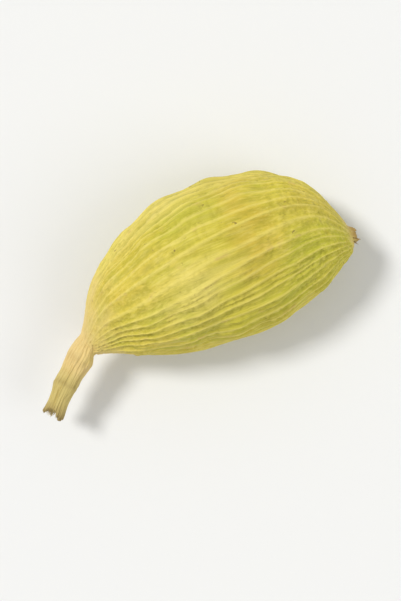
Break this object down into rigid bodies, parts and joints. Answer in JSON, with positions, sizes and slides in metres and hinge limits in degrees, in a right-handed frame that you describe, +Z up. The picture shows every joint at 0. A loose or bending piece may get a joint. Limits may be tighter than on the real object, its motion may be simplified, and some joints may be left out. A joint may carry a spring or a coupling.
{
  "type": "green cardamom pod",
  "caption": "Dried, whole, closed seed pod: a bowed, ribbed capsule with rounded angles, a blunt beaked tip and a short turned stalk, lying on a small flat spot.",
  "frame": {"origin": "on the flat spot that the pod rests on, below its middle", "axes": "+X from the stalk end to the tip, +Y the side that the pod bows towards, +Z up from the surface that it lies on"},
  "size_m": [0.0222, 0.0107, 0.0089],
  "materials": {
    "husk": "satin, fibrous, yellow-green dried plant husk"
  },
  "bodies": {
    "root": {"cardamom_pod": "husk"}
  },
  "joints": []
}
